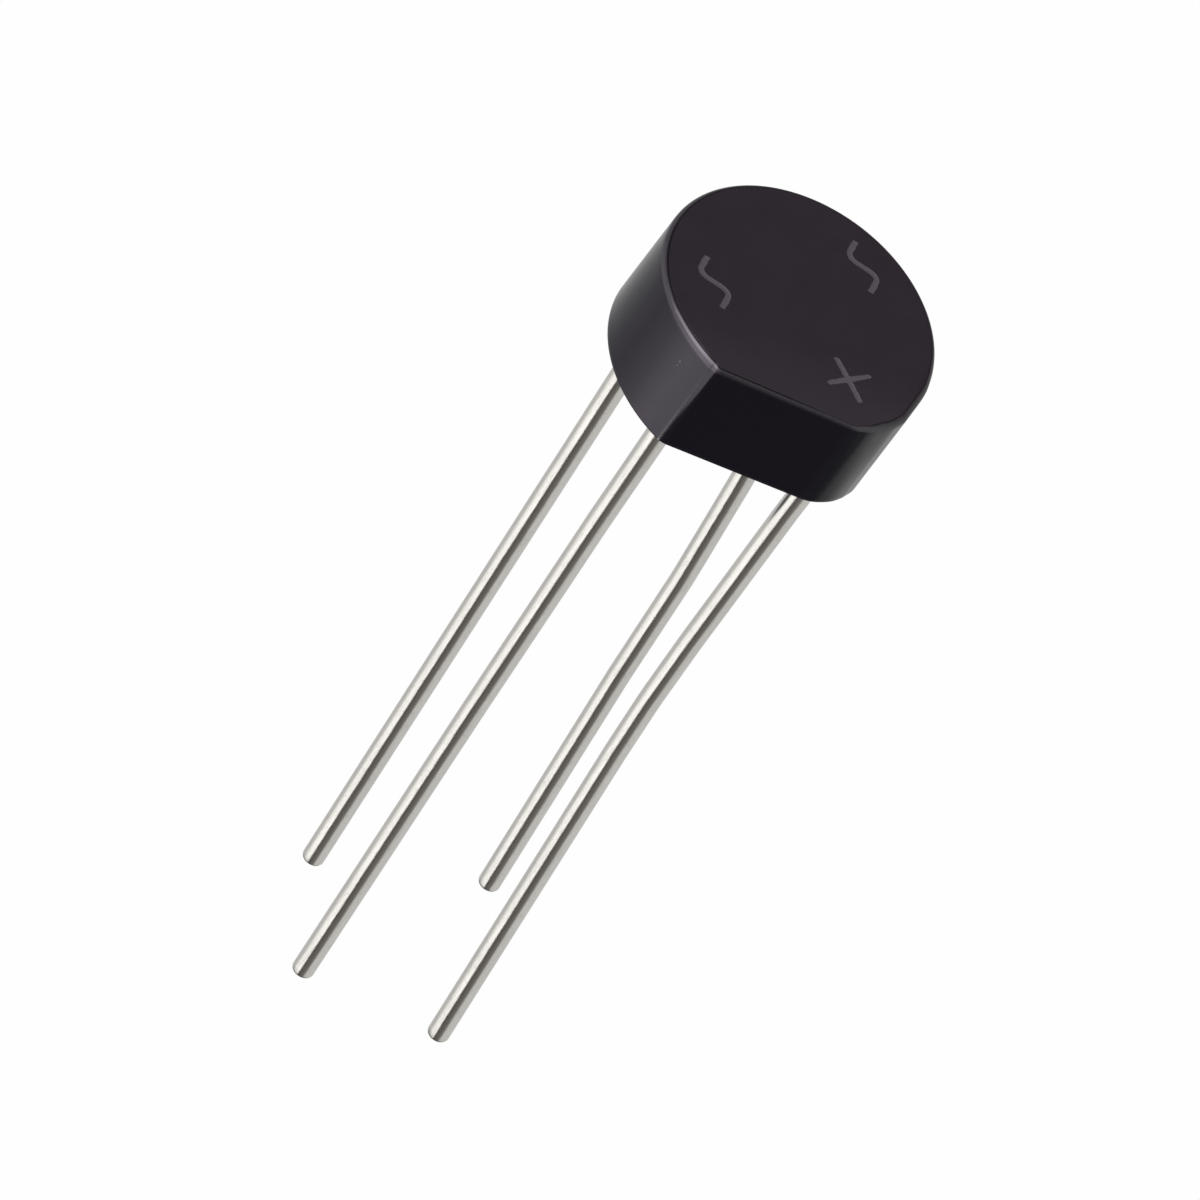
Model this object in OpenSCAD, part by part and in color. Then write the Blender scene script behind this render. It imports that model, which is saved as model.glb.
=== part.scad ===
// Round single-phase bridge rectifier with four straight wire leads.
//
// Millimetres, +Z up. The origin is the centre of the four leads, on the
// underside of the body, which is the face that sits on a board. The leads
// run down along -Z from the corners of a square whose sides lie along X and Y.
// The flat of the body is at the front, -Y, turned by a few degrees.
//
// Inside, four silicon dies sit in a 2 x 2 square. Two low flattened wire ends
// carry the direct current (positive at +X, negative at -X). Two high ones
// carry the alternating current. Every die is soldered between a low one and
// a high one.

/* [Body] */
// Diameter of the round part of the body
body_d = 9.25; // [8.8:0.05:9.9]
// Height of the body above the board
body_h = 3.75; // [3.4:0.05:4.6]
// Distance from the centre of the body to the flat
flat_dist = 3.9; // [3.7:0.05:4.1]
// Angle by which the flat is turned from the row of front leads
flat_turn = 3.7; // [0:0.1:6]
// Radius of the wide corner at the right end of the flat
wide_corner_r = 1.9; // [1.7:0.05:2.1]
// Position of the wide corner's centre along the flat
wide_corner_x = 2.13; // [2.0:0.01:2.2]
// Radius of the narrow corner at the left end of the flat
narrow_corner_r = 0.6; // [0.3:0.05:0.8]
// Rounding of the top rim
rim_r = 0.2; // [0.1:0.02:0.28]
// Mould draft: how far the foot of the body stands out beyond its top, all round
draft = 0.06; // [0.01:0.01:0.12]
// Sideways offset of the body from the centre of the leads
body_shift = 0.1; // [0:0.02:0.2]

/* [Marks] */
// Depth of the polarity marks in the top face
mark_depth = 0.04; // [0.02:0.01:0.1]
// Width of a mark's stroke
mark_w = 0.18; // [0.14:0.01:0.24]
// Half the length of an arm of the plus mark
plus_half = 0.85; // [0.6:0.05:1.0]
// Half the length of the alternating-current mark
wave_half = 0.97; // [0.7:0.05:1.1]
// Height of the wave in the alternating-current mark
wave_amp = 0.34; // [0.2:0.02:0.45]

/* [Leads] */
// Distance between neighbouring leads, along X and along Y
pitch = 5.08; // [4.6:0.02:5.6]
// Diameter of the lead wire
lead_d = 0.76; // [0.71:0.01:0.81]
// Straight stretch of every lead below the body, before its first bend
straight = 2.1; // [2.05:0.05:2.6]
// Direction in which the leads lean, measured from +X
lean_dir = -25.5; // [-40:0.5:-10]
// Height of the positive lead's cut end below the seating face
tip_pos = 30.18; // [28:0.02:34]
// Height of the negative lead's cut end below the seating face
tip_neg = 29.64; // [26:0.02:32]
// Height of the front alternating-current lead's cut end below the seating face
tip_ac1 = 29.34; // [26:0.02:32]
// Height of the rear alternating-current lead's cut end below the seating face
tip_ac2 = 27.82; // [26:0.02:32]

/* [Inside] */
// Side of a silicon die
die_s = 1.3; // [1.0:0.05:1.4]
// Thickness of a silicon die
die_t = 0.28; // [0.2:0.02:0.36]
// Thickness of a solder layer
solder_t = 0.08; // [0.06:0.01:0.12]
// Side of a solder layer
solder_s = 1.2; // [0.9:0.05:1.3]
// Distance of a die's centre from the centre planes
die_off = 1.0; // [0.9:0.05:1.1]
// Thickness of a flattened wire end
paddle_t = 0.36; // [0.3:0.02:0.44]
// Width of a flattened wire end
paddle_w = 1.1; // [0.9:0.05:1.2]
// Height of the underside of the low flattened ends above the seating face
paddle_z = 1.3; // [1.0:0.05:1.5]
// Depth to which the round wire enters the body
entry = 0.08; // [0.04:0.01:0.1]
// Side of the square shank pressed on the wire inside the body
shank_s = 0.5; // [0.4:0.02:0.52]

/* [Hidden] */
$fn = 64;

half = pitch / 2;
lead_r = lead_d / 2;
main_r = body_d / 2;
// Centres of the two corner roundings; y is measured towards the flat.
wide_c = [wide_corner_x, -(flat_dist - wide_corner_r)];
narrow_c = [-sqrt(pow(main_r - narrow_corner_r, 2) - pow(flat_dist - narrow_corner_r, 2)),
            -(flat_dist - narrow_corner_r)];
// Direction of the short straight side between the round and the wide corner.
side_dir = atan2(wide_c[1], wide_c[0]) + acos(min(1, (main_r - wide_corner_r) / norm(wide_c)));
// Direction in which the round meets the narrow corner.
narrow_dir = 360 + atan2(narrow_c[1], narrow_c[0]);

// Levels of the stack inside.
z_low_top = paddle_z + paddle_t;
z_die = z_low_top + solder_t;
z_die_top = z_die + die_t;
z_high = z_die_top + solder_t;
z_high_top = z_high + paddle_t;

// Points of an arc about c, from angle a0 to angle a1.
function arc(c, r, a0, a1, n) =
    [for (i = [0 : n]) let (a = a0 + (a1 - a0) * i / n) [c[0] + r * cos(a), c[1] + r * sin(a)]];

// Outline of the body, drawn in by d all round: the round, the narrow corner,
// the flat and the wide corner.
function outline(d) = concat(
    arc([0, 0], main_r - d, side_dir, narrow_dir, 120),
    arc(narrow_c, narrow_corner_r - d, narrow_dir + 360 * (narrow_dir < 180 ? 1 : 0), 270, 9),
    arc(wide_c, wide_corner_r - d, 270, side_dir + 360, 30));

// Outline of a stroke of width w along the points p, with square ends.
function stroke_side(p, w, s) = [for (i = [0 : len(p) - 1])
    let (a = p[max(0, i - 1)], b = p[min(len(p) - 1, i + 1)], t = (b - a) / norm(b - a))
    [p[i][0] - s * w / 2 * t[1], p[i][1] + s * w / 2 * t[0]]];
function flip(v) = [for (i = [len(v) - 1 : -1 : 0]) v[i]];
function wave(n) = [for (i = [0 : n]) let (u = -1 + 2 * i / n)
    [wave_half * u, wave_amp * (sin(180 * u) + 0.16 * sin(360 * u))]];

// Puts a shape from the body's own axes, flat straight at -Y, in its place.
module in_body() {
    rotate([0, 0, -flat_turn]) translate([-body_shift, 0, 0]) children();
}

module wave_mark() {
    linear_extrude(height = 1)
        polygon(concat(stroke_side(wave(28), mark_w, 1), flip(stroke_side(wave(28), mark_w, -1))));
}

module plus_mark() {
    translate([-plus_half, -mark_w / 2, 0]) cube([2 * plus_half, mark_w, 1]);
    translate([-mark_w / 2, -plus_half, 0]) cube([mark_w, 2 * plus_half, 1]);
}

// The moulding: it narrows a little towards the top and has a rounded top rim.
module moulding() {
    in_body() hull() {
        linear_extrude(height = 0.002) polygon(outline(-draft));
        for (a = [0 : 18 : 90])
            translate([0, 0, body_h - rim_r + rim_r * sin(a) - (a > 0 ? 0.002 : 0)])
                linear_extrude(height = 0.002) polygon(outline(rim_r * (1 - cos(a))));
    }
}

module body() {
    color([0.13, 0.12, 0.13])
    difference() {
        moulding();
        translate([1.65, -2.32, body_h - mark_depth]) rotate([0, 0, 31]) plus_mark();
        translate([-2.99, -0.31, body_h - mark_depth]) rotate([0, 0, -73.9]) wave_mark();
        translate([1.97, 2.46, body_h - mark_depth]) rotate([0, 0, -73.9]) wave_mark();
        for (s = [-1, 1]) {
            low_end(s);
            high_end(s);
            translate([s * half, -s * half, 0]) root(z_low_top, 1);
            translate([s * half, s * half, 0]) root(z_high_top, 1);
        }
        for (x = [-1, 1], y = [-1, 1]) {
            die(x, y);
            solder(x, y, z_low_top);
            solder(x, y, z_die_top);
        }
    }
}

// Flattened wire end of a direct-current lead, s = 1 for positive and -1 for
// negative: a bar under two dies, with a neck out to the lead.
module low_end(s) {
    translate([0, 0, paddle_z]) linear_extrude(height = paddle_t) rotate(s > 0 ? 0 : 180)
        paddle_shape();
}

// The same for an alternating-current lead: a bar over two dies. s = -1 is the
// front lead and 1 the rear one.
module high_end(s) {
    translate([0, 0, z_high]) linear_extrude(height = paddle_t)
        rotate(s > 0 ? 90 : -90) paddle_shape();
}

// Plan of a flattened end for the lead at +X, -Y.
module paddle_shape() {
    translate([die_off - paddle_w / 2, -1.75]) square([paddle_w, 3.5]);
    polygon([[half + 0.30, -half + 0.36], [half - 0.30, -half - 0.44],
             [die_off - 0.30, -1.75], [die_off + paddle_w / 2, -0.95]]);
    translate([half, -half]) rotate(10) square(0.9, center = true);
}

// The upper part of a lead: round wire from a depth of below up to a little way
// inside the body, then a square shank, which can't turn in the moulding, up to
// the top of the flattened end.
module root(top, below) {
    translate([0, 0, -below]) cylinder(h = below + entry, r = lead_r);
    translate([-shank_s / 2, -shank_s / 2, 0]) cube([shank_s, shank_s, top]);
}

// A lead below the body. run lists the bends: each entry is the turn in degrees,
// the bend's radius and the straight length after it.
module lead_run(run, i = 0) {
    if (i < len(run)) {
        turn = run[i][0];
        rad = run[i][1];
        s = sign(turn);
        // the bend, towards +X for a positive turn and -X for a negative one
        mirror([s > 0 ? 0 : 1, 0, 0]) translate([rad, 0, 0]) rotate([90, 0, 0]) rotate([0, 0, 180])
            rotate_extrude(angle = abs(turn), $fn = 720) translate([rad, 0]) circle(r = lead_r, $fn = 48);
        translate([s * rad * (1 - cos(turn)), 0, -rad * sin(abs(turn))]) rotate([0, -turn, 0]) {
            translate([0, 0, -run[i][2]]) cylinder(h = run[i][2], r = lead_r);
            translate([0, 0, -run[i][2]]) lead_run(run, i + 1);
        }
    }
}

// Length left for the last straight stretch, so that the cut end's centre is at
// depth tip: what the other bends and stretches of the run take is taken off.
function depth_to(run, k, a = 0, i = 0) = i >= k ? 0 :
    let (r = run[i][1], b = a + run[i][0], s = sign(run[i][0]))
    r * s * (sin(b) - sin(a)) + (i < k - 1 ? run[i][2] * cos(b) : 0) + depth_to(run, k, b, i + 1);
function total_turn(run, i = 0) = i >= len(run) ? 0 : run[i][0] + total_turn(run, i + 1);
function finish(run, tip) = let (k = len(run), left = tip - straight - depth_to(run, k))
    [for (i = [0 : k - 1]) i < k - 1 ? run[i] : [run[i][0], run[i][1], left / cos(total_turn(run))]];

// A whole lead at x, y: the wire from the top of its flattened end down to the
// first bend, then the bends.
module lead(x, y, top, run, tip) {
    translate([x, y, 0]) {
        root(top, straight);
        translate([0, 0, -straight]) rotate([0, 0, lean_dir]) lead_run(finish(run, tip));
    }
}

module lead_positive() {
    color([0.78, 0.78, 0.76]) {
        lead(half, -half, z_low_top, [[0.85, 20, 6.5], [0.76, 35, 2.3], [1.59, 35, 2.0], [0.76, 35, 10]], tip_pos);
        low_end(1);
    }
}

module lead_negative() {
    color([0.78, 0.78, 0.76]) {
        lead(-half, half, z_low_top, [[6.86, 7.5, 1.0], [-4.07, 11, 20]], tip_neg);
        low_end(-1);
    }
}

module lead_ac_front() {
    color([0.78, 0.78, 0.76]) {
        lead(-half, -half, z_high_top, [[4.31, 13, 0.8], [-1.98, 25, 15.3], [0.38, 35, 10]], tip_ac1);
        high_end(-1);
    }
}

module lead_ac_rear() {
    color([0.78, 0.78, 0.76]) {
        lead(half, half, z_high_top, [[7.24, 6, 3.8], [-2.88, 16, 3.4], [-1.6, 25, 4.5], [1.25, 18, 8]], tip_ac2);
        high_end(1);
    }
}

module die(x, y) {
    color([0.35, 0.37, 0.42])
        translate([x * die_off - die_s / 2, y * die_off - die_s / 2, z_die]) cube([die_s, die_s, die_t]);
}

module solder(x, y, z) {
    color([0.62, 0.62, 0.6])
        translate([x * die_off - solder_s / 2, y * die_off - solder_s / 2, z]) cube([solder_s, solder_s, solder_t]);
}

body();
lead_positive();
lead_negative();
lead_ac_front();
lead_ac_rear();
die(1, -1);  // die_positive_front
die(1, 1);  // die_positive_rear
die(-1, -1);  // die_negative_front
die(-1, 1);  // die_negative_rear
solder(1, -1, z_low_top);  // solder_under_die_positive_front
solder(1, 1, z_low_top);  // solder_under_die_positive_rear
solder(-1, -1, z_low_top);  // solder_under_die_negative_front
solder(-1, 1, z_low_top);  // solder_under_die_negative_rear
solder(1, -1, z_die_top);  // solder_over_die_positive_front
solder(1, 1, z_die_top);  // solder_over_die_positive_rear
solder(-1, -1, z_die_top);  // solder_over_die_negative_front
solder(-1, 1, z_die_top);  // solder_over_die_negative_rear
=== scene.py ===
import math

import bpy
import bmesh
from mathutils import Matrix, Vector
from mathutils.geometry import delaunay_2d_cdt


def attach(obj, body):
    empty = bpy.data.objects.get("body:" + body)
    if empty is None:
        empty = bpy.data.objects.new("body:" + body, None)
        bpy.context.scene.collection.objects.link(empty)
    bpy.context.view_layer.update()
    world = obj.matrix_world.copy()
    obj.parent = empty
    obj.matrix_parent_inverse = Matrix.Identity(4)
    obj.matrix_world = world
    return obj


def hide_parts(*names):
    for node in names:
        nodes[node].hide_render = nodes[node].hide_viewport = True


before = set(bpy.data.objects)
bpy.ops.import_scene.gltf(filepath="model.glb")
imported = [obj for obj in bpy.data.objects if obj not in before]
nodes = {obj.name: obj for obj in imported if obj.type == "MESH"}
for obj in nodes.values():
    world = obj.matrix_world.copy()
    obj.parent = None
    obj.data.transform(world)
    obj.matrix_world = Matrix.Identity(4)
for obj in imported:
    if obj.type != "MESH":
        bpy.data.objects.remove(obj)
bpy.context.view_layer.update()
scene = bpy.context.scene

# Lengths below are in millimetres, as in the CAD model, and angles in degrees.
# Meshes are scaled to metres as they are made.
MM = 0.001

BODY_D, BODY_H, FLAT_DIST, FLAT_TURN, SHIFT = 9.25, 3.75, 3.9, 3.7, 0.1
WIDE_R, WIDE_X, NARROW_R, DRAFT = 1.9, 2.13, 0.6, 0.06
LEAD_R, PITCH, LEAN, ENTRY, SHANK = 0.38, 5.08, -25.5, 0.08, 0.5
Z_LOW, Z_LOW_TOP, Z_HIGH, Z_HIGH_TOP = 1.3, 1.66, 2.1, 2.46

MAIN_R = BODY_D / 2
WIDE_C = (WIDE_X, -(FLAT_DIST - WIDE_R))
NARROW_C = (-math.sqrt((MAIN_R - NARROW_R) ** 2 - (FLAT_DIST - NARROW_R) ** 2), -(FLAT_DIST - NARROW_R))
SIDE_DIR = math.degrees(
    math.atan2(WIDE_C[1], WIDE_C[0]) + math.acos(min(1, (MAIN_R - WIDE_R) / math.hypot(*WIDE_C))))
NARROW_DIR = 360 + math.degrees(math.atan2(NARROW_C[1], NARROW_C[0]))


def sind(a):
    return math.sin(math.radians(a))


def cosd(a):
    return math.cos(math.radians(a))


# ---------------------------------------------------------------- meshes

def new_piece(name, verts, faces, attribute=None):
    """A mesh object in metres from points in mm, smooth shaded."""
    mesh = bpy.data.meshes.new(name)
    mesh.from_pydata([(x * MM, y * MM, z * MM) for x, y, z in verts], [], faces)
    mesh.validate()
    for p in mesh.polygons:
        p.use_smooth = True
    for key, values in (attribute or {}).items():
        layer = mesh.attributes.new(key, "FLOAT", "POINT")
        for i, v in enumerate(values):
            layer.data[i].value = v
    mesh.update()
    obj = bpy.data.objects.new(name, mesh)
    scene.collection.objects.link(obj)
    return obj


class Shell:
    """Points and faces of a mesh as it grows; each point also keeps how worn its edge is, with the highlight painted on
    it, whether it is in a mark, and how much shade is painted on it in the crease.
    """

    def __init__(self):
        self.verts, self.faces, self.wear, self.mark, self.crease_shade = [], [], [], [], []

    def ring(self, points, wear=0.0, mark=0.0, crease_shade=0.0):
        start = len(self.verts)
        self.verts += points
        n = len(points)
        self.wear += wear if isinstance(wear, list) else [wear] * n
        self.mark += [mark] * n
        self.crease_shade += crease_shade if isinstance(crease_shade, list) else [crease_shade] * n
        return list(range(start, start + n))

    def bridge(self, a, b):
        n = len(a)
        for i in range(n):
            j = (i + 1) % n
            self.faces.append((a[i], a[j], b[j], b[i]))

    def fill(self, loops, z, up=True, step=None, mark=0.0, waves=None):
        """Triangulates the region inside the first loop and outside the others, with loose points on a grid between."""
        outer = [self.verts[i][:2] for i in loops[0]]
        holes = [[self.verts[i][:2] for i in loop] for loop in loops[1:]]
        index, points, edges = [], [], []
        for loop in loops:
            base = len(points)
            n = len(loop)
            index += loop
            points += [Vector(self.verts[i][:2]) for i in loop]
            edges += [(base + k, base + (k + 1) % n) for k in range(n)]
        if step:
            xs, ys = [p[0] for p in outer], [p[1] for p in outer]
            nx = int((max(xs) - min(xs)) / step)
            ny = int((max(ys) - min(ys)) / step)
            for iy in range(1, ny + 1):
                for ix in range(1, nx + 1):
                    q = (min(xs) + (ix + (0.5 if iy % 2 else 0.0)) * step, min(ys) + iy * step)
                    if not inside(q, outer) or nearest(q, outer) < step * 0.6:
                        continue
                    if any(inside(q, h) or nearest(q, h) < step * 0.6 for h in holes):
                        continue
                    zz = z + (waves(q) if waves else 0.0)
                    index += self.ring([(q[0], q[1], zz)], mark=mark)
                    points.append(Vector(q))
        out = delaunay_2d_cdt(points, edges, [], 0, 1e-6)
        vs, fs, origin = out[0], out[2], out[3]
        for f in fs:
            c = [sum(vs[i][k] for i in f) / len(f) for k in (0, 1)]
            if not inside(c, outer) or any(inside(c, h) for h in holes):
                continue
            ids = [index[origin[i][0]] for i in f]
            area = sum(vs[f[i]][0] * vs[f[(i + 1) % len(f)]][1] - vs[f[(i + 1) % len(f)]][0] * vs[f[i]][1]
                       for i in range(len(f)))
            if (area > 0) != up:
                ids.reverse()
            self.faces.append(tuple(ids))


def inside(q, loop):
    hit = False
    for i in range(len(loop)):
        (x0, y0), (x1, y1) = loop[i - 1], loop[i]
        if (y0 > q[1]) != (y1 > q[1]) and q[0] < (x1 - x0) * (q[1] - y0) / (y1 - y0) + x0:
            hit = not hit
    return hit


def nearest(q, loop):
    best = 1e9
    for i in range(len(loop)):
        (x0, y0), (x1, y1) = loop[i - 1], loop[i]
        dx, dy = x1 - x0, y1 - y0
        t = max(0.0, min(1.0, ((q[0] - x0) * dx + (q[1] - y0) * dy) / (dx * dx + dy * dy + 1e-12)))
        best = min(best, math.hypot(q[0] - x0 - t * dx, q[1] - y0 - t * dy))
    return best


# ---------------------------------------------------------------- body

def in_body(p):
    x, y = p[0] - SHIFT, p[1]
    c, s = cosd(-FLAT_TURN), sind(-FLAT_TURN)
    return (x * c - y * s, x * s + y * c)


def station(a, along_flat=None):
    """Place on the outline: the facing direction up to the flat, then 20 steps along the flat, then the facing direction plus 20."""
    corner = 270 - FLAT_TURN
    if along_flat is not None:
        return corner + 20 * along_flat
    while a < 150:
        a += 360
    while a >= 510:
        a -= 360
    return a if a <= corner + 1e-6 else a + 20


def eased(stops, q):
    """A value that changes smoothly with the place on the outline, from stops of (station, value)."""
    for (a0, v0), (a1, v1) in zip(stops, stops[1:]):
        if q <= a1:
            t = (q - a0) / (a1 - a0)
            return v0 + (v1 - v0) * t * t * (3 - 2 * t)
    return stops[-1][1]


# By station: how far the top edge is drawn in, then the width and the height of
# the rim's rounding, and the strength of the crease inside it, both its depth and the painted shade in it.
# The moulding is not quite even round its top, and bulges a little at the right.
TOP_IN = ((150, 0.0), (240, 0.0), (258, -0.05), (266, -0.05), (286, -0.057), (302, 0.0), (322, 0.04), (340, 0.0), (530, 0.0))
RIM_W = ((150, 0.12), (203, 0.12), (212, 0.14), (236, 0.135), (256, 0.11), (266, 0.085), (286, 0.07), (306, 0.13), (324, 0.16),
         (345, 0.17), (365, 0.14), (385, 0.12), (530, 0.12))
RIM_H = ((150, 0.18), (203, 0.20), (212, 0.26), (236, 0.26), (256, 0.20), (266, 0.14), (286, 0.12), (306, 0.15), (324, 0.16), (345, 0.18), (530, 0.18))
CREASE = ((150, 0.8), (175, 1.0), (200, 0.9), (212, 0.8), (240, 0.95), (258, 1.0), (276, 1.0), (284, 0.35), (300, 0.3), (316, 0.7),
          (350, 0.6), (400, 0.25), (480, 0.25), (530, 0.8))
BULGE = ((150, 0.0), (296, 0.0), (312, -0.020), (328, -0.018), (340, -0.012), (353, 0.035), (359, 0.030), (367, 0.008), (378, 0.0), (530, 0.0))
FOOT_IN = ((150, 0.0), (300, 0.0), (318, 0.010), (334, 0.022), (342, 0.030), (351, 0.044), (362, 0.020), (374, 0.0), (530, 0.0))
START = 64.0  # the direction, above level, that the rounding faces where it leaves the top


def outline(d):
    """The body's outline drawn in by d(station), as points in the row frame with their stations and the direction each one faces."""
    out = []
    far = 0.0024  # keeps the finer curve inside the coarser one of the CAD model

    def arc(c, r, a0, a1, n, first=0):
        for i in range(first, n + 1):
            a = a0 + (a1 - a0) * i / n
            q = station(a - FLAT_TURN, 1.0 if c == WIDE_C and i == 0 else None)
            k = r - far - d(q)
            out.append((in_body((c[0] + k * cosd(a), c[1] + k * sind(a))), q, a - FLAT_TURN))

    arc((0, 0), MAIN_R, SIDE_DIR, NARROW_DIR, 180)
    arc(NARROW_C, NARROW_R, NARROW_DIR, 270, 18, 1)
    for i in range(1, 24):
        q = station(0, i / 24)
        out.append((in_body((NARROW_C[0] + (WIDE_C[0] - NARROW_C[0]) * i / 24, -(FLAT_DIST - far - d(q)))), q, 270 - FLAT_TURN))
    arc(WIDE_C, WIDE_R, 270, SIDE_DIR + 360, 54)
    return out


def side_in(z):
    """How far the side is drawn in at height z, by station."""
    return lambda q: (eased(FOOT_IN, q) - DRAFT) * (1 - z / BODY_H) + eased(TOP_IN, q) * z / BODY_H - eased(BULGE, q)


def sag(x, y):
    """How far the top face dips towards the flat, a little more at its right end."""
    c, s = cosd(FLAT_TURN), sind(FLAT_TURN)
    xb, yb = x * c - y * s + SHIFT, x * s + y * c
    t = max(0.0, min(1.0, (-yb - 1.9) / 2.0))
    return max(0.0, 0.075 + 0.02 * xb) * t * t


def level(d, z, dip=None):
    """A ring of points; d and z may change with the station."""
    pts = []
    for (x, y), q, _ in outline(d):
        zz = z(q) if callable(z) else z
        pts.append((x, y, zz - sag(x, y) * max(0.0, zz / BODY_H) ** 3 + (dip(x, y, q) if dip else 0.0)))
    return pts


def uneven(x, y):
    """Small irregularities along the crease."""
    return 1 + 0.16 * math.sin(9.0 * x + 4.0 * y) + 0.12 * math.sin(23.0 * x - 17.0 * y) + 0.10 * math.sin(51.0 * x + 43.0 * y)


def wobble(p):
    """A small sideways shift that makes a mark's edges slightly uneven."""
    x, y = p
    return (x + 0.006 * math.sin(21 * y + 3.1 * x) + 0.004 * math.sin(47 * y - 29 * x + 1.3),
            y + 0.006 * math.sin(19 * x - 4.7 * y + 0.7) + 0.004 * math.sin(53 * x + 31 * y + 2.2))


def subdivided(points, step):
    out = []
    for i in range(len(points)):
        a, b = points[i], points[(i + 1) % len(points)]
        n = max(1, int(math.hypot(b[0] - a[0], b[1] - a[1]) / step))
        out += [(a[0] + (b[0] - a[0]) * k / n, a[1] + (b[1] - a[1]) * k / n) for k in range(n)]
    return out


MARK_DEPTH, MARK_W = 0.013, 0.18
# Each ring of a mark's edge: how far inside the stroke's edge it lies, and its depth.
MARK_RINGS = ((-0.05, 0.0), (-0.020, 0.0005), (-0.008, 0.002), (0.002, 0.005), (0.012, 0.009), (0.024, 0.012), (0.04, 0.013))


def plus_loop(e):
    """Outline of the plus mark, its arms slightly uneven in length and rounded at the ends."""
    h = MARK_W / 2 - e
    pts = []
    for k, (length, taper) in enumerate(((0.86, 0.72), (0.83, 0.95), (0.77, 0.78), (0.84, 0.9))):
        a = 90 * k
        end = length - e
        t = MARK_W / 2 * taper - e
        r = 0.6 * t
        arm = [(h, -h), (end - r, -t), (end - 0.3 * r, -t + 0.3 * r), (end, -t + r),
               (end, t - r), (end - 0.3 * r, t - 0.3 * r), (end - r, t)]
        pts += [(x * cosd(a) - y * sind(a), x * sind(a) + y * cosd(a)) for x, y in arm]
    return pts


def wave_loop(e):
    """Outline of the alternating-current mark, a single wave."""
    h = MARK_W / 2 - e
    n = 44
    cut = e / 1.6

    def at(u):
        return ((0.97 - cut) * u, 0.34 * (sind(180 * u) + 0.16 * sind(360 * u)))

    centre = [at(-1 + 2 * i / n) for i in range(n + 1)]
    left, right = [], []
    for i, p in enumerate(centre):
        a, b = centre[max(0, i - 1)], centre[min(n, i + 1)]
        t = (b[0] - a[0], b[1] - a[1])
        k = math.hypot(*t)
        left.append((p[0] - h * t[1] / k, p[1] + h * t[0] / k))
        right.append((p[0] + h * t[1] / k, p[1] - h * t[0] / k))
    return left[::-1] + right


def placed(points, turn, at):
    return [(at[0] + x * cosd(turn) - y * sind(turn), at[1] + x * sind(turn) + y * cosd(turn)) for x, y in points]


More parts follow.
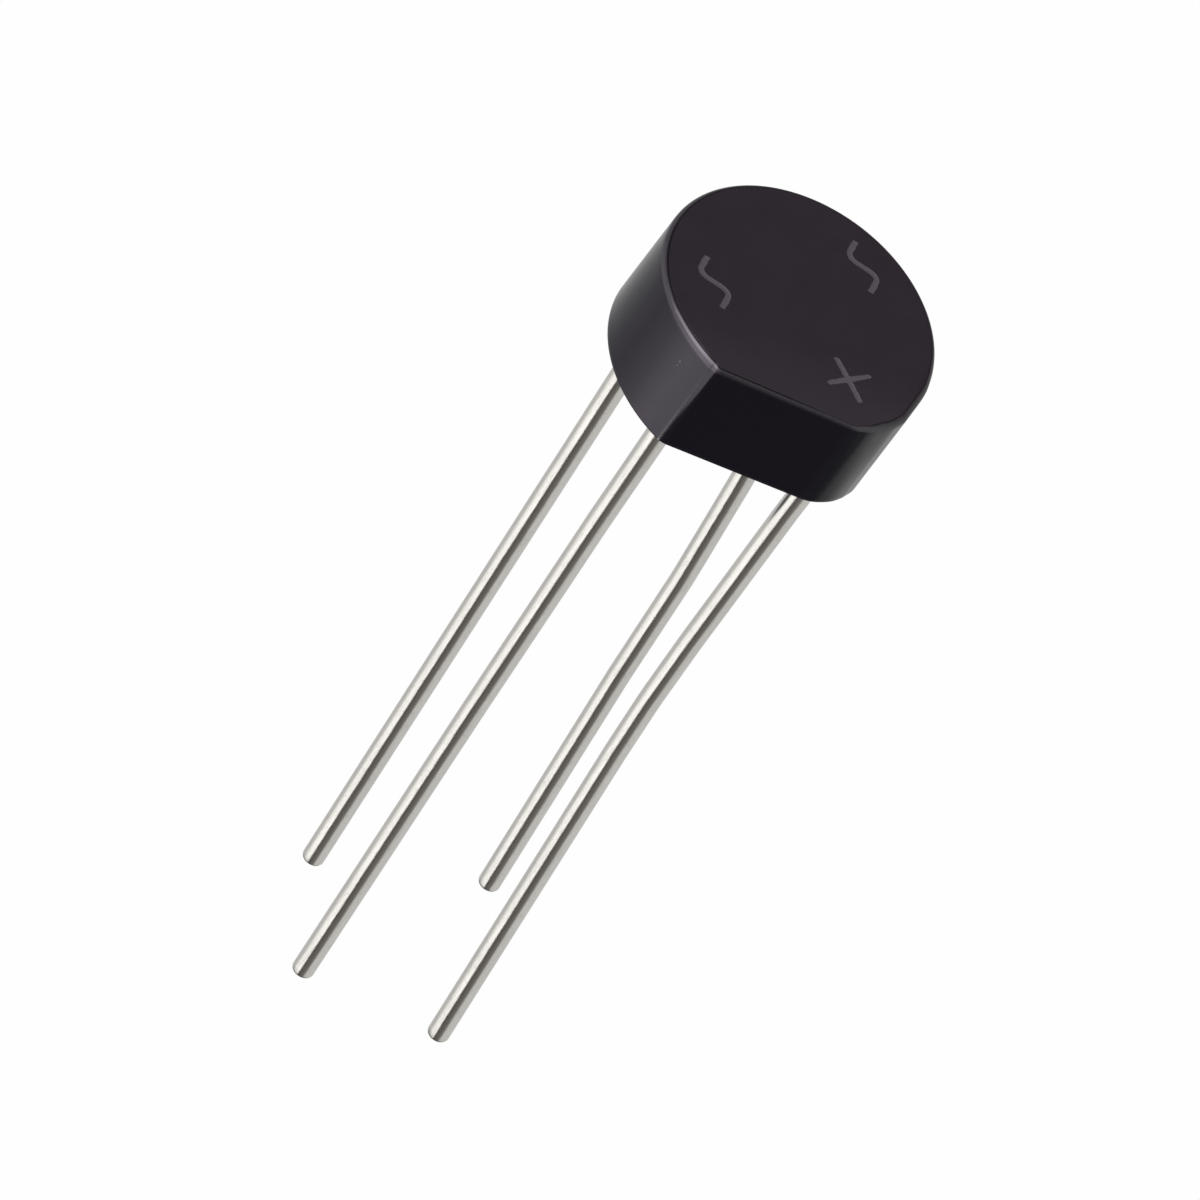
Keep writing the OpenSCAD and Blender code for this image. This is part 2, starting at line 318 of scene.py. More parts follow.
def build_body():
    s = Shell()
    facing = [a for _, _, a in outline(lambda q: 0.0)]
    stations = [q for _, q, _ in outline(lambda q: 0.0)]

    def worn_and_lit(amount, corner=0.0):
        """Wear and painted highlight of a ring: amount all round, more along the edge of the narrow corner."""
        return [amount + corner * math.exp(-((a - 238.5) / 4.0) ** 2) for a in facing]

    # underside, its four small wells where the wires enter, and the bottom edge
    wells = []
    for x in (-1, 1):
        for y in (-1, 1):
            rings = []
            for r, z in ((0.52, 0.0), (0.45, 0.0), (0.425, 0.004), (0.41, 0.018), (0.405, 0.05), (0.37, 0.055)):
                rings.append(s.ring([(x * PITCH / 2 + r * cosd(7.5 * k), y * PITCH / 2 + r * sind(7.5 * k), z)
                                     for k in range(48)]))
            for a, b in zip(rings, rings[1:]):
                s.bridge(b, a)
            s.faces.append(tuple(reversed(rings[-1])))
            wells.append(rings[0])
    foot = side_in(0.0)
    b0 = s.ring(level(lambda q: foot(q) + 0.06, 0.0))
    s.fill([b0] + wells, 0.0, up=False, step=0.3)
    rings = [b0]
    # Painted highlight, partly wear: the bottom edge's rings are lightened all round, and at the narrow corner up to
    # near white.
    for d, z in ((0.035, 0.0), (0.018, 0.004), (0.006, 0.015), (0.0, 0.035)):
        rings.append(s.ring(level(lambda q: side_in(z)(q) + d, z), worn_and_lit(0.25, 4.5)))
    # Painted highlight, partly wear: the side rings are lightened along the narrow corner's edge, most near the bottom.
    for share in (0.03, 0.06, 0.14, 0.28, 0.42, 0.56, 0.70, 0.84, 0.94, 0.985):
        def z_at(q):
            return 0.035 + (BODY_H - eased(RIM_H, q) - 0.035) * share
        rings.append(s.ring(level(lambda q: side_in(z_at(q))(q), z_at), worn_and_lit(0.0, 3.6 - 2.6 * share)))

    # the top rim: a rounding that meets the top face in a fine crease
    def rim_in(e):
        return lambda q: side_in(BODY_H)(q) + eased(RIM_W, q) * (1 - cosd(e)) / (1 - cosd(START))

    def rim_z(e):
        return lambda q: BODY_H - eased(RIM_H, q) * (1 - sind(e) / sind(START))

    # Painted highlight, partly wear: the rim's rounding is lightened, more towards the top face.
    for k in range(0, 15):
        e = START * k / 14
        rings.append(s.ring(level(rim_in(e), rim_z(e)), worn_and_lit(0.25 + 0.35 * k / 14, 0.2)))
    edge = rim_in(START)
    # Painted shade: each crease ring also carries a weight that the material uses to darken the crease's colour and
    # reflection; the dip itself is real geometry.
    strength = [eased(CREASE, q) for q in stations]
    for d, deep, shade_weight in ((0.003, 0.002, 0.2), (0.010, 0.014, 0.9), (0.024, 0.021, 1.0), (0.042, 0.018, 1.0), (0.060, 0.008, 0.8), (0.076, 0.0015, 0.2), (0.092, 0.0, 0.0)):
        rings.append(s.ring(level(lambda q: edge(q) + d, BODY_H,
                                  lambda x, y, q: -deep * eased(CREASE, q) * uneven(x, y)),
                            crease_shade=[shade_weight * v for v in strength]))
    rings.append(s.ring(level(lambda q: edge(q) + 0.13, BODY_H)))
    for a, b in zip(rings, rings[1:]):
        s.bridge(a, b)

    # the marks, each a shallow recess
    tops = []
    for loop, turn, at in ((plus_loop, 31, (1.56, -2.327)),
                           (wave_loop, -73.9, (-2.99, -0.31)),
                           (wave_loop, -73.9, (1.97, 2.46))):
        base = subdivided(loop(0.0), 0.045)
        marks = []
        for e, depth in MARK_RINGS:
            pts = []
            raw = loop(e)
            ref = loop(0.0)
            # the same subdivision for every ring, so that the rings match point by point
            for i in range(len(ref)):
                a, b = ref[i], ref[(i + 1) % len(ref)]
                ra, rb = raw[i], raw[(i + 1) % len(raw)]
                m = max(1, int(math.hypot(b[0] - a[0], b[1] - a[1]) / 0.045))
                pts += [(ra[0] + (rb[0] - ra[0]) * k / m, ra[1] + (rb[1] - ra[1]) * k / m) for k in range(m)]
            assert len(pts) == len(base)
            pts = placed([wobble(p) for p in pts], turn, at)
            marks.append(s.ring([(x, y, BODY_H - depth - sag(x, y)) for x, y in pts], mark=min(1.0, max(0.0, (e + 0.012) / 0.012))))
        for a, b in zip(marks, marks[1:]):
            s.bridge(a, b)
        s.fill([marks[-1]], BODY_H - MARK_DEPTH, mark=1.0)
        tops.append(marks[0])

    def swell(q):
        """The very slight unevenness of a moulded face."""
        return 0.0012 * (math.sin(1.3 * q[0] + 0.4) * math.cos(1.1 * q[1] - 0.8) - 0.2)

    s.fill([rings[-1]] + tops, BODY_H, step=0.28, waves=lambda q: min(0.0, swell(q)) - 0.0006 - sag(*q))
    return s


body_shell = build_body()
body = new_piece("rectifier_body", body_shell.verts, body_shell.faces,
                 {"wear": body_shell.wear, "mark": body_shell.mark, "crease_shade": body_shell.crease_shade})
bm = bmesh.new()
bm.from_mesh(body.data)
bmesh.ops.recalc_face_normals(bm, faces=bm.faces)
bm.to_mesh(body.data)
bm.free()


# ---------------------------------------------------------------- leads

def lead_path(run, tip, straight):
    """Points (lean, height, angle from vertical) down a lead from just inside the body to its cut end."""
    g, z, a = 0.0, ENTRY, 0.0
    out = []

    def go(length, first=True):
        nonlocal g, z
        n = max(1, int(math.ceil(length / 0.35)))
        for k in range(0 if first else 1, n + 1):
            t = length * k / n
            out.append((g + t * sind(a), z - t * cosd(a), a))
        g, z = g + length * sind(a), z - length * cosd(a)

    go(ENTRY + straight)
    for i, (turn, radius, length) in enumerate(run):
        s = 1 if turn > 0 else -1
        n = max(3, int(math.ceil(abs(turn) / 0.6)))
        g0, z0, a0 = g, z, a
        for k in range(1, n + 1):
            b = a0 + turn * k / n
            out.append((g0 + s * radius * (cosd(a0) - cosd(b)), z0 - s * radius * (sind(b) - sind(a0)), b))
        g, z, a = out[-1]
        if i == len(run) - 1:
            length = (tip + z) / cosd(a)
        go(length, first=False)
    return out


def prism(s, poly, z0, z1, edge=0.02):
    """A flat piece with slightly rounded edges, from a polygon listed anticlockwise."""
    def inset(e):
        n = len(poly)
        pts = []
        for i in range(n):
            a, b, c = poly[i - 1], poly[i], poly[(i + 1) % n]
            u = Vector((b[0] - a[0], b[1] - a[1])).normalized()
            v = Vector((c[0] - b[0], c[1] - b[1])).normalized()
            nu, nv = Vector((-u.y, u.x)), Vector((-v.y, v.x))
            m = nu + nv
            m = m / max(0.3, m.dot(nu))
            pts.append((b[0] + e * m.x, b[1] + e * m.y))
        return pts

    rings = []
    for e, z in ((edge, z0), (0.3 * edge, z0 + 0.3 * edge), (0.0, z0 + edge),
                 (0.0, z1 - edge), (0.3 * edge, z1 - 0.3 * edge), (edge, z1)):
        rings.append(s.ring([(x, y, z) for x, y in inset(e)]))
    for a, b in zip(rings, rings[1:]):
        s.bridge(a, b)
    s.faces.append(tuple(reversed(rings[0])))
    s.faces.append(tuple(rings[-1]))


# Plan of a flattened end for the lead at +X, -Y.
PADDLE = [(0.45, 1.75), (0.45, -1.75), (0.70, -1.75), (2.02, -2.84), (2.17, -3.05), (3.03, -2.88),
          (2.90, -2.03), (2.60, -1.95), (1.55, -0.95), (1.55, 1.75)]


def turned(points, a):
    return [(x * cosd(a) - y * sind(a), x * sind(a) + y * cosd(a)) for x, y in points]


def build_lead(name, x, y, top, flat_turn, flat_z, straight, run, tip, seed):
    s = Shell()
    e = Vector((cosd(LEAN), sind(LEAN), 0))
    side = Vector((-sind(LEAN), cosd(LEAN), 0))
    up = Vector((0, 0, 1))
    root = Vector((x * PITCH / 2, y * PITCH / 2, 0))
    sides = 48
    path = lead_path(run, tip, straight)
    # the cut end: a rounded, slightly dragged edge round a flat face
    g, z, a = path[-1]
    end = [(0.085, 1.0), (0.052, 0.990), (0.028, 0.962), (0.012, 0.920), (0.003, 0.865), (0.0, 0.80), (0.0, 0.55), (0.004, 0.25)]
    rings = []

    def tube_ring(g, z, a, scale, shift=0.0, drag=0.0):
        c = root + e * (g - shift * sind(a)) + up * (z + shift * cosd(a))
        n = e * cosd(a) + up * sind(a)
        d = e * sind(a) - up * cosd(a)
        pts = []
        for k in range(sides):
            f = 360.0 * k / sides
            # drawn wire is never perfectly round or straight
            r = LEAD_R * scale * (1 + 0.0012 * math.sin(math.radians(3 * f) + 0.9 * z + seed)
                                  + 0.0010 * math.sin(math.radians(2 * f) - 1.7 * z + 2 * seed))
            p = c + (n * cosd(f) + side * sind(f)) * r
            if drag:
                p -= d * drag * (0.5 + 0.5 * cosd(f - 40 * seed)) ** 2
            pts.append(tuple(p))
        return pts

    for g_, z_, a_ in path:
        if z_ <= path[-1][1] + 0.09 and (g_, z_, a_) != path[-1]:
            continue
        if (g_, z_, a_) == path[-1]:
            break
        rings.append(s.ring(tube_ring(g_, z_, a_, 1.0)))
    for shift, scale in end:
        rings.append(s.ring(tube_ring(g, z, a, scale, shift, 0.02 * (1 - scale) if scale > 0.8 else 0.0)))
    s.faces.append(tuple(rings[0]))
    for p, q in zip(rings, rings[1:]):
        s.bridge(q, p)
    centre = s.ring([tuple(root + e * g + up * (z + 0.006))])[0]
    for k in range(sides):
        s.faces.append((rings[-1][(k + 1) % sides], rings[-1][k], centre))
    # inside the body: a square shank and the flattened end
    h = SHANK / 2
    prism(s, [(root.x + p, root.y + q) for p, q in ((-h, -h), (h, -h), (h, h), (-h, h))], 0.03, flat_z + 0.1)
    prism(s, turned(PADDLE, flat_turn), flat_z, top)
    # a fine dark line down the left of the positive lead, beside the body, a painted reflection of the dark body, and a
    # dull rim at the cut end
    dull_end_and_reflection = []
    g, z, a = path[-1]
    c, d = root + e * g + up * z, e * sind(a) - up * cosd(a)
    for vx, vy, vz in s.verts:
        turn = math.degrees(math.atan2(vy - root.y, vx - root.x)) % 360
        body_reflection = math.exp(-((turn - 197.0 + 1.2 * vz) / 13.0) ** 2)
        body_reflection = body_reflection * max(0.0, min(1.0, (vz + 3.6) / 1.8)) if seed == 1 and vz < 0.0 else 0.0
        off = Vector((vx, vy, vz)) - c
        along = off.dot(d)
        out = (off - d * along).length / LEAD_R
        cut = (0.95 if out > 0.84 else 0.3) * max(0.0, min(1.0, (0.066 + along) / 0.035))
        dull_end_and_reflection.append(max(body_reflection, cut))
    obj = new_piece(name, s.verts, s.faces, {"dull_end_and_reflection": dull_end_and_reflection})
    b = bmesh.new()
    b.from_mesh(obj.data)
    bmesh.ops.recalc_face_normals(b, faces=b.faces)
    b.to_mesh(obj.data)
    b.free()
    return obj


leads = {
    "lead_positive": build_lead("wire_positive", 1, -1, Z_LOW_TOP, 0, Z_LOW, 2.1,
                                [(0.85, 20, 6.5), (0.76, 35, 2.3), (1.59, 35, 2.0), (0.76, 35, 10)], 30.07, 1),
    "lead_negative": build_lead("wire_negative", -1, 1, Z_LOW_TOP, 180, Z_LOW, -0.08,
                                [(2.76, 3, 10), (0.04, 40, 20)], 29.51, 2),
    "lead_ac_front": build_lead("wire_ac_front", -1, -1, Z_HIGH_TOP, -90, Z_HIGH, 0.05,
                                [(1.80, 16, 4.6), (0.56, 40, 9.5), (0.26, 40, 10)], 29.20, 3),
    "lead_ac_rear": build_lead("wire_ac_rear", 1, 1, Z_HIGH_TOP, 90, Z_HIGH, 0.8,
                               [(5.40, 8, 5.2), (-0.75, 16, 4.2), (-1.65, 25, 4.6), (0.95, 18, 8)], 27.74, 4),
}


# ---------------------------------------------------------------- materials

class Nodes:
    """Short names for making a node tree."""

    def __init__(self, tree):
        self.tree = tree
        self.tree.nodes.clear()

    def new(self, kind, **settings):
        node = self.tree.nodes.new(kind)
        for k, v in settings.items():
            setattr(node, k, v)
        return node

    def link(self, a, b):
        self.tree.links.new(a, b)

    def put(self, socket, value):
        if isinstance(value, bpy.types.NodeSocket):
            self.link(value, socket)
        else:
            socket.default_value = value

    def math(self, op, a, b=None, clamp=False):
        node = self.new("ShaderNodeMath", operation=op, use_clamp=clamp)
        self.put(node.inputs[0], a)
        if b is not None:
            self.put(node.inputs[1], b)
        return node.outputs[0]

    def noise(self, vector, scale, detail=2.0, rough=0.5):
        node = self.new("ShaderNodeTexNoise")
        self.link(vector, node.inputs["Vector"])
        node.inputs["Scale"].default_value = scale
        node.inputs["Detail"].default_value = detail
        node.inputs["Roughness"].default_value = rough
        return node.outputs["Fac"]

    def mapped(self, value, a, b, c, d, smooth=False):
        node = self.new("ShaderNodeMapRange", interpolation_type="SMOOTHSTEP" if smooth else "LINEAR")
        self.put(node.inputs["Value"], value)
        for key, v in (("From Min", a), ("From Max", b), ("To Min", c), ("To Max", d)):
            node.inputs[key].default_value = v
        return node.outputs["Result"]

    def ramp(self, value, stops):
        node = self.new("ShaderNodeValToRGB")
        self.put(node.inputs["Fac"], value)
        r = node.color_ramp
        while len(r.elements) > 1:
            r.elements.remove(r.elements[-1])
        r.elements[0].position, r.elements[0].color = stops[0][0], (*stops[0][1], 1)
        for pos, col in stops[1:]:
            r.elements.new(pos).color = (*col, 1)
        return node.outputs["Color"]

    def mix(self, factor, a, b, kind="MIX"):
        node = self.new("ShaderNodeMix", data_type="RGBA", blend_type=kind)
        self.put(node.inputs[0], factor)
        self.put(node.inputs[6], a if isinstance(a, bpy.types.NodeSocket) else (*a, 1))
        self.put(node.inputs[7], b if isinstance(b, bpy.types.NodeSocket) else (*b, 1))
        return node.outputs[2]

    def bump(self, height, strength, distance, normal=None):
        node = self.new("ShaderNodeBump")
        self.link(height, node.inputs["Height"])
        node.inputs["Strength"].default_value = strength
        node.inputs["Distance"].default_value = distance
        if normal is not None:
            self.link(normal, node.inputs["Normal"])
        return node.outputs["Normal"]


def material(name):
    m = bpy.data.materials.new(name)
    m.use_nodes = True
    n = Nodes(m.node_tree)
    out = n.new("ShaderNodeOutputMaterial")
    shader = n.new("ShaderNodeBsdfPrincipled")
    n.link(shader.outputs["BSDF"], out.inputs["Surface"])
    coord = n.new("ShaderNodeTexCoord")
    scale = n.new("ShaderNodeMapping")
    scale.inputs["Scale"].default_value = (1000, 1000, 1000)  # millimetres
    n.link(coord.outputs["Object"], scale.inputs["Vector"])
    return m, n, shader, scale.outputs["Vector"]


def stretched(n, vector, scale):
    node = n.new("ShaderNodeMapping")
    node.inputs["Scale"].default_value = scale
    n.link(vector, node.inputs["Vector"])
    return node.outputs["Vector"]


def moulding_material():
    m, n, shader, mm = material("moulding_epoxy")
    xyz = n.new("ShaderNodeSeparateXYZ")
    n.link(mm, xyz.inputs[0])
    facing = n.new("ShaderNodeSeparateXYZ")
    n.link(n.new("ShaderNodeTexCoord").outputs["Normal"], facing.inputs[0])
    wear = n.new("ShaderNodeAttribute", attribute_name="wear").outputs["Fac"]
    mark = n.new("ShaderNodeAttribute", attribute_name="mark").outputs["Fac"]
    crease_shade = n.new("ShaderNodeAttribute", attribute_name="crease_shade").outputs["Fac"]
    broad = n.noise(mm, 0.55, 3.0)
    fine = n.noise(mm, 14.0, 4.0, 0.65)
    grain = n.noise(mm, 55.0, 2.0, 0.6)
    top = n.mapped(facing.outputs["Z"], 0.90, 0.98, 0.0, 1.0, smooth=True)
    # colour: near black with a touch of purple, a little lighter in places, greyer where an edge is worn and where a
    # highlight is painted on it, grey in the marks
    base = n.mix(n.mapped(broad, 0.35, 0.65, 0.0, 1.0), (0.0060, 0.0028, 0.0068), (0.0075, 0.0038, 0.0082))
    base = n.mix(n.mapped(fine, 0.45, 0.75, 0.0, 0.35), base, (0.0125, 0.0080, 0.0135))
    near_flat = n.mapped(xyz.outputs["Y"], -1.2, -3.6, 0.0, 0.6, smooth=True)
    base = n.mix(near_flat, base, (0.0135, 0.0100, 0.0142))
    base = n.mix(top, (0.0042, 0.0035, 0.0066), base)
    # Painted highlight, partly wear: edges are lightened towards grey by the wear value, most along the narrow corner.
    worn_and_lit = n.math("MULTIPLY", wear, n.mapped(fine, 0.3, 0.7, 0.3, 1.0))
    base = n.mix(n.math("MULTIPLY", worn_and_lit, 0.22), base, (0.105, 0.100, 0.108))
    # Painted highlight: at the foot of the narrow corner the colour goes to a near-white grey.
    base = n.mix(n.mapped(wear, 3.7, 4.5, 0.0, 1.0), base, (0.40, 0.39, 0.40))
    # a chipped speck on the left side
    for centre, size in (((-3.613, -3.040, 2.80), 0.040), ((-3.609, -3.044, 2.62), 0.030)):
        apart = n.new("ShaderNodeVectorMath", operation="DISTANCE")
        n.link(mm, apart.inputs[0])
        apart.inputs[1].default_value = centre
        base = n.mix(n.mapped(apart.outputs["Value"], size, size * 0.5, 0.0, 1.0), base, (0.075, 0.070, 0.075))
    mark_tone = n.mix(n.mapped(grain, 0.3, 0.7, 0.0, 1.0), (0.032, 0.028, 0.0335), (0.047, 0.041, 0.0485))
    base = n.mix(mark, base, mark_tone)
    # Painted shade: the crease is darkened to near black.
    base = n.mix(crease_shade, base, (0.0035, 0.0025, 0.0035))
    n.link(base, shader.inputs["Base Color"])
    # gloss: satin top, smoother sides, a little duller at the back left; the sides' reflection strength and tint are
    # painted light, set by facing direction
    rough = n.mapped(top, 0.0, 1.0, 0.15, 0.38)
    rough = n.math("ADD", rough, n.mapped(fine, 0.2, 0.8, -0.03, 0.04))
    rough = n.math("ADD", rough, n.math("MULTIPLY", mark, 0.25), clamp=True)
    n.link(rough, shader.inputs["Roughness"])
    shader.inputs["IOR"].default_value = 1.5
    around = n.math("ARCTAN2", facing.outputs["Y"], facing.outputs["X"])
    around = n.mapped(around, -math.pi, math.pi, 0.0, 1.0)

    def at(a, v):
        return ((a % 360 + 180) % 360 / 360, (v, v, v))

    # Painted light: reflection strength round the sides is set by facing direction, so that some sides look lighter and
    # others darker as the light fell on them.
    painted_light_by_facing = n.ramp(around, sorted([at(182, 0.15), at(190, 0.155), at(194, 0.18), at(198, 0.185), at(202, 0.22), at(206, 0.247),
                                      at(210, 0.28), at(213, 0.33), at(216, 0.415), at(219, 0.49), at(223, 0.57), at(227, 0.55), at(234, 0.52),
                                      at(246, 0.46), at(256, 0.28), at(266, 0.15), at(273, 0.065), at(280, 0.05), at(284, 0.055),
                                      at(288, 0.09), at(292, 0.16), at(296, 0.28), at(301, 0.47), at(306, 0.64), at(314, 0.88),
                                      at(326, 0.85), at(340, 0.55), at(90, 0.42), at(150, 0.30), at(178, 0.15)]))
    upward = n.mapped(facing.outputs["Z"], 0.05, 0.35, 0.0, 1.0, smooth=True)
    # Painted light: the rim's reflection strength is also set by facing direction.
    painted_rim_light = n.ramp(around, sorted([at(181, 0.5), at(226, 0.5), at(238, 0.34), at(250, 0.38), at(264, 0.5), at(179, 0.5)]))
    gloss = n.mix(upward, painted_light_by_facing, painted_rim_light)
    gloss = n.mix(top, gloss, (0.36, 0.36, 0.36))
    # Painted shade: reflection is turned down in the crease.
    gloss = n.mix(n.math("MULTIPLY", crease_shade, n.mapped(fine, 0.3, 0.7, 0.75, 1.0)), gloss, (0.06, 0.06, 0.06))
    shader.inputs["Specular IOR Level"].default_value = 0.35
    n.link(gloss, shader.inputs["Specular IOR Level"])
    # Painted light: reflections on left-facing sides are tinted warm pink, standing in for the colour of the light on
    # that side.
    leftward = n.mapped(facing.outputs["X"], 0.2, -0.4, 0.0, 1.0, smooth=True)
    n.link(n.mix(leftward, (1.0, 0.985, 1.0), (1.0, 0.885, 1.04)), shader.inputs["Specular Tint"])
    # grain: a fine spark-eroded texture, and the very faint waviness of a moulded face
    height = n.math("ADD", n.math("MULTIPLY", fine, 0.6), n.math("MULTIPLY", grain, 0.4))
    normal = n.bump(height, 0.35, 0.000006)
    normal = n.bump(broad, 0.25, 0.00002, normal)
    n.link(normal, shader.inputs["Normal"])
    return m


def wire_material():
    m, n, shader, mm = material("tinned_copper_wire")
    lines = n.noise(stretched(n, mm, (22.0, 22.0, 0.55)), 1.0, 3.0, 0.6)
    specks = n.noise(stretched(n, mm, (16.0, 16.0, 6.0)), 1.0, 4.0, 0.7)
    broad = n.noise(stretched(n, mm, (1.2, 1.2, 0.35)), 1.0, 2.0)
    base = n.mix(n.mapped(lines, 0.35, 0.70, 0.0, 1.0), (0.80, 0.780, 0.745), (0.70, 0.680, 0.645))
    base = n.mix(n.mapped(specks, 0.53, 0.78, 0.0, 0.75), base, (0.50, 0.485, 0.46))
    base = n.mix(n.mapped(broad, 0.4, 0.7, 0.0, 0.25), base, (0.66, 0.645, 0.615))
    # Painted reflection and real dullness: the dark body's reflection down one lead and the dull rim at the cut end
    # both darken the wire.
    dull_end_and_reflection = n.new("ShaderNodeAttribute", attribute_name="dull_end_and_reflection").outputs["Fac"]
    base = n.mix(n.mapped(dull_end_and_reflection, 0.25, 0.8, 0.0, 0.92, smooth=True), base, (0.06, 0.055, 0.055))
    n.link(base, shader.inputs["Base Color"])
    shader.inputs["Metallic"].default_value = 1.0
    rough = n.mapped(lines, 0.3, 0.7, 0.13, 0.21)
    rough = n.math("ADD", rough, n.mapped(specks, 0.5, 0.8, 0.0, 0.10), clamp=True)
    n.link(rough, shader.inputs["Roughness"])
    normal = n.bump(lines, 0.30, 0.000004)
    normal = n.bump(specks, 0.30, 0.000004, normal)
    n.link(normal, shader.inputs["Normal"])
    return m


def silicon_material():
    m, n, shader, mm = material("silicon_die")
    broad = n.noise(mm, 2.5, 2.0)
    fine = n.noise(mm, 30.0, 3.0)
    base = n.mix(broad, (0.10, 0.11, 0.14), (0.15, 0.16, 0.19))
    base = n.mix(n.mapped(fine, 0.5, 0.8, 0.0, 0.5), base, (0.20, 0.20, 0.23))
    n.link(base, shader.inputs["Base Color"])
    n.link(n.mapped(fine, 0.2, 0.8, 0.25, 0.45), shader.inputs["Roughness"])
    n.link(n.bump(fine, 0.3, 0.000004), shader.inputs["Normal"])
    return m


def solder_material():
    m, n, shader, mm = material("soft_solder")
    broad = n.noise(mm, 4.0, 2.0)
    fine = n.noise(mm, 24.0, 4.0, 0.6)
    base = n.mix(broad, (0.52, 0.52, 0.50), (0.60, 0.59, 0.57))
    base = n.mix(n.mapped(fine, 0.5, 0.8, 0.0, 0.6), base, (0.40, 0.40, 0.39))
    n.link(base, shader.inputs["Base Color"])
    shader.inputs["Metallic"].default_value = 1.0
    n.link(n.mapped(fine, 0.2, 0.8, 0.32, 0.55), shader.inputs["Roughness"])
    n.link(n.bump(fine, 0.5, 0.000010), shader.inputs["Normal"])
    return m


moulding, wire, silicon, solder = moulding_material(), wire_material(), silicon_material(), solder_material()

body.data.materials.append(moulding)
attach(body, "root")
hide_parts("body")
for node, obj in leads.items():
    obj.data.materials.append(wire)
    obj.visible_glossy = False
    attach(obj, "root")
    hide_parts(node)
for name, obj in nodes.items():
    kind = silicon if name.startswith("die") else solder if name.startswith("solder") else \
        moulding if name == "body" else wire
    if not obj.data.materials:
        obj.data.materials.append(kind)
    for i in range(len(obj.data.materials)):
        obj.data.materials[i] = kind


# ---------------------------------------------------------------- floor, light and camera

def floor():
    bpy.ops.mesh.primitive_plane_add(size=8.0, location=(0, 0, -0.55))
    obj = bpy.context.active_object
    obj.name = "floor"
    m = bpy.data.materials.new("pale_floor")
    m.use_nodes = True
    n = Nodes(m.node_tree)
    out = n.new("ShaderNodeOutputMaterial")
    glow = n.new("ShaderNodeEmission")
    glow.inputs["Color"].default_value = (0.99, 0.99, 0.99, 1)
    n.link(glow.outputs[0], out.inputs["Surface"])
    obj.data.materials.append(m)
    obj.visible_glossy = False
    obj.visible_diffuse = False
    obj.visible_shadow = False


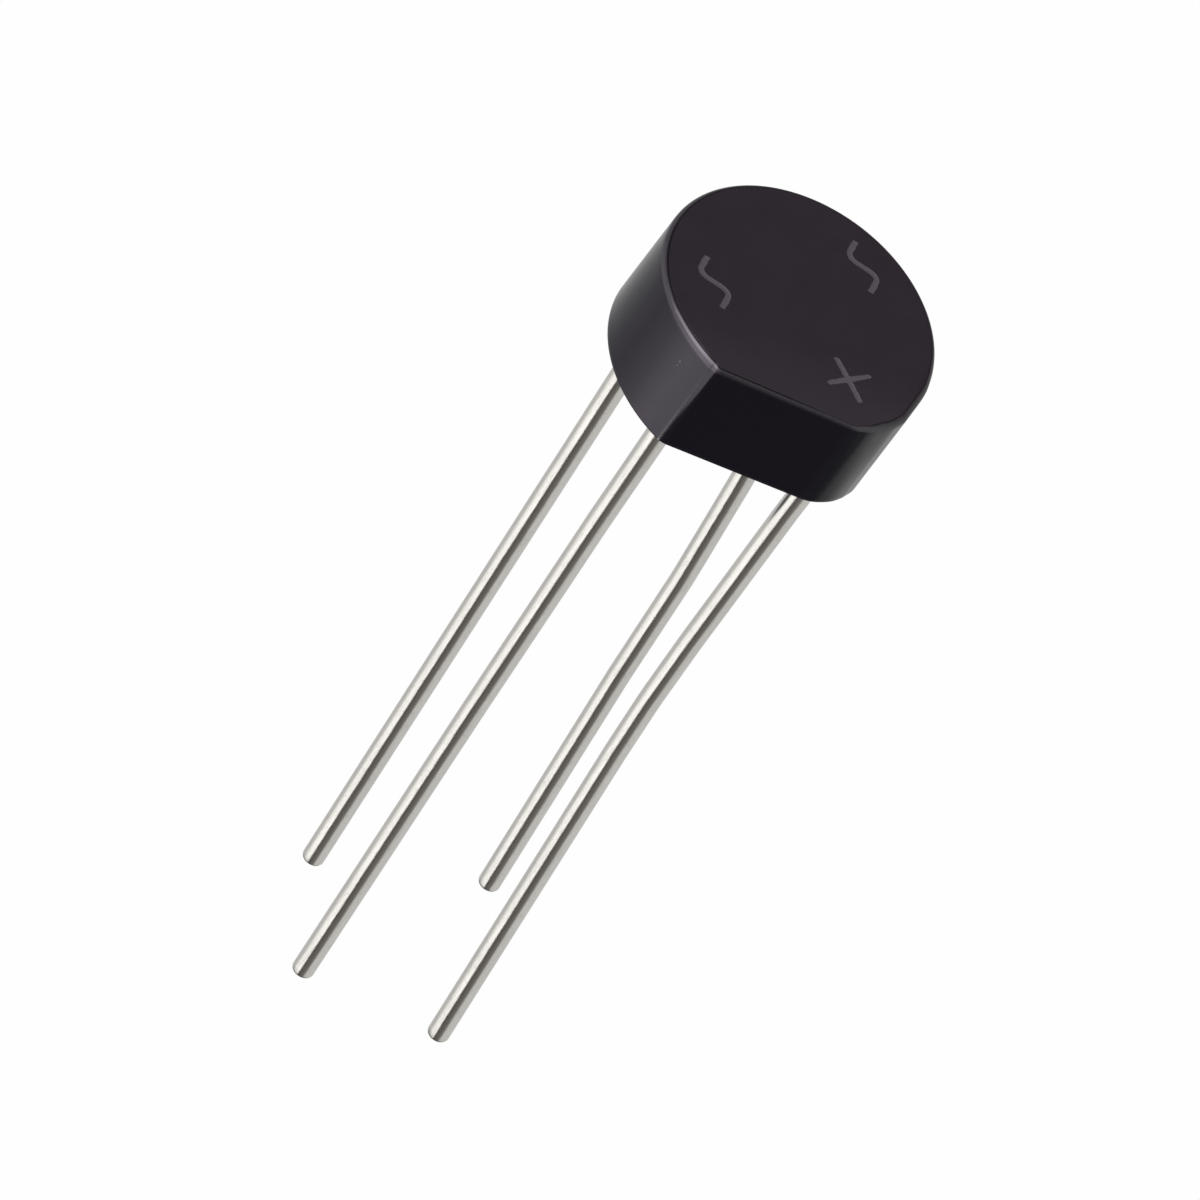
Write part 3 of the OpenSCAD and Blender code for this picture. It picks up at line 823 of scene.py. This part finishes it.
def studio(camera_azimuth):
    """A pale surround that the camera sees as plain white, and that lights the object as soft panels round it would: a bright one to the left of the camera, a key light above it, a dark gap in front and light grey elsewhere."""
    world = bpy.data.worlds.new("studio")
    scene.world = world
    world.use_nodes = True
    n = Nodes(world.node_tree)
    out = n.new("ShaderNodeOutputWorld")
    coord = n.new("ShaderNodeTexCoord")

    def along(v):
        node = n.new("ShaderNodeVectorMath", operation="DOT_PRODUCT")
        n.link(coord.outputs["Generated"], node.inputs[0])
        node.inputs[1].default_value = v
        return node.outputs["Value"]

    c, s = cosd(camera_azimuth), sind(camera_azimuth)
    ahead, left, up = along((c, s, 0)), along((-s, c, 0)), along((0, 0, 1))
    azimuth = n.math("ARCTAN2", left, ahead)
    turn = n.mapped(azimuth, -math.pi, math.pi, 0.0, 1.0)
    height = n.math("ARCSINE", up)

    degrees = math.radians
    bands = []
    for pairs in (
            # low: what upright faces reflect
            [(-180, 0.60), (-105, 0.60), (-88, 0.66), (-70, 1.05), (-57, 1.22), (-40, 1.30), (-15, 1.30), (-10.5, 0.085), (3, 0.105), (22, 0.15),
             (44, 0.185), (59, 0.62), (80, 0.66), (180, 0.60)],
            # middle: what the lower part of the rim reflects
            [(-180, 0.38), (-125, 0.6), (-97, 1.15), (-77, 1.4), (-59, 1.8), (-42, 3.0), (-25, 3.4), (-8, 1.5), (8, 0.4),
             (37, 0.26), (60, 0.6), (80, 0.95), (106, 1.2), (131, 0.66), (180, 0.38)],
            # high: what the upper part of the rim reflects, and at the back what the top face does
            [(-180, 0.235), (-125, 0.33), (-102, 0.8), (-88, 1.5), (-72, 4.2), (-54, 6.8), (-40, 7.2), (-24, 6.2), (-8, 2.6), (12, 0.7),
             (35, 0.45), (50, 0.55), (88, 1.1), (106, 0.9), (125, 0.6), (142, 0.30), (180, 0.235)],
            # overhead
            [(-180, 0.85), (-140, 0.8), (-112, 2.8), (-90, 5.4), (-55, 7.0), (-25, 5.4), (0, 1.3), (30, 0.45), (67, 0.45),
             (120, 0.6), (180, 0.85)]):
        peak = max(v for _, v in pairs)
        band = n.ramp(turn, [((a + 180) / 360, (v / peak, v / peak * (0.94 if -12 < a < 50 else 0.995), v / peak * (0.89 if -12 < a < 50 else 0.985)))
                             for a, v in pairs])
        bands.append(n.mix(1.0, band, (peak, peak, peak), "MULTIPLY"))

    def rise(a, b):
        return n.mapped(height, degrees(a), degrees(b), 0.0, 1.0, smooth=True)

    colour = n.mix(rise(-30, -14), bands[0], bands[1])
    colour = n.mix(rise(18, 38), colour, bands[2])
    colour = n.mix(rise(52, 66), colour, bands[3])
    colour = n.mix(rise(78, 86), colour, (0.25, 0.25, 0.25))
    colour = n.mix(n.mapped(height, degrees(-51), degrees(-57), 0.0, 1.0, smooth=True), colour, (0.07, 0.066, 0.062))
    light = n.new("ShaderNodeBackground")
    n.link(colour, light.inputs["Color"])
    light.inputs["Strength"].default_value = 1.0
    seen = n.new("ShaderNodeBackground")
    seen.inputs["Color"].default_value = (0.99, 0.99, 0.99, 1)
    pick = n.new("ShaderNodeMixShader")
    path = n.new("ShaderNodeLightPath")
    n.link(path.outputs["Is Camera Ray"], pick.inputs[0])
    n.link(light.outputs[0], pick.inputs[1])
    n.link(seen.outputs[0], pick.inputs[2])
    n.link(pick.outputs[0], out.inputs["Surface"])


def camera():
    data = bpy.data.cameras.new("camera")
    obj = bpy.data.objects.new("camera", data)
    scene.collection.objects.link(obj)
    scene.camera = obj
    data.sensor_width = 36.0
    data.lens = 285.07
    data.clip_start, data.clip_end = 0.01, 20.0
    right = Vector((0.89938, 0.03418, 0.43584)).normalized()
    ahead = Vector((0.31055, 0.65173, -0.69196)).normalized()
    right = (right - ahead * right.dot(ahead)).normalized()
    up = right.cross(ahead)
    rotation = Matrix((right, up, -ahead)).transposed().to_4x4()
    obj.matrix_world = Matrix.Translation((-0.091943, -0.194016, 0.194584)) @ rotation


floor()
studio(-115.5)
camera()
scene.view_settings.view_transform = "Standard"
scene.view_settings.look = "None"
scene.view_settings.exposure = 0.0
scene.view_settings.gamma = 1.0

bpy.context.view_layer.update()
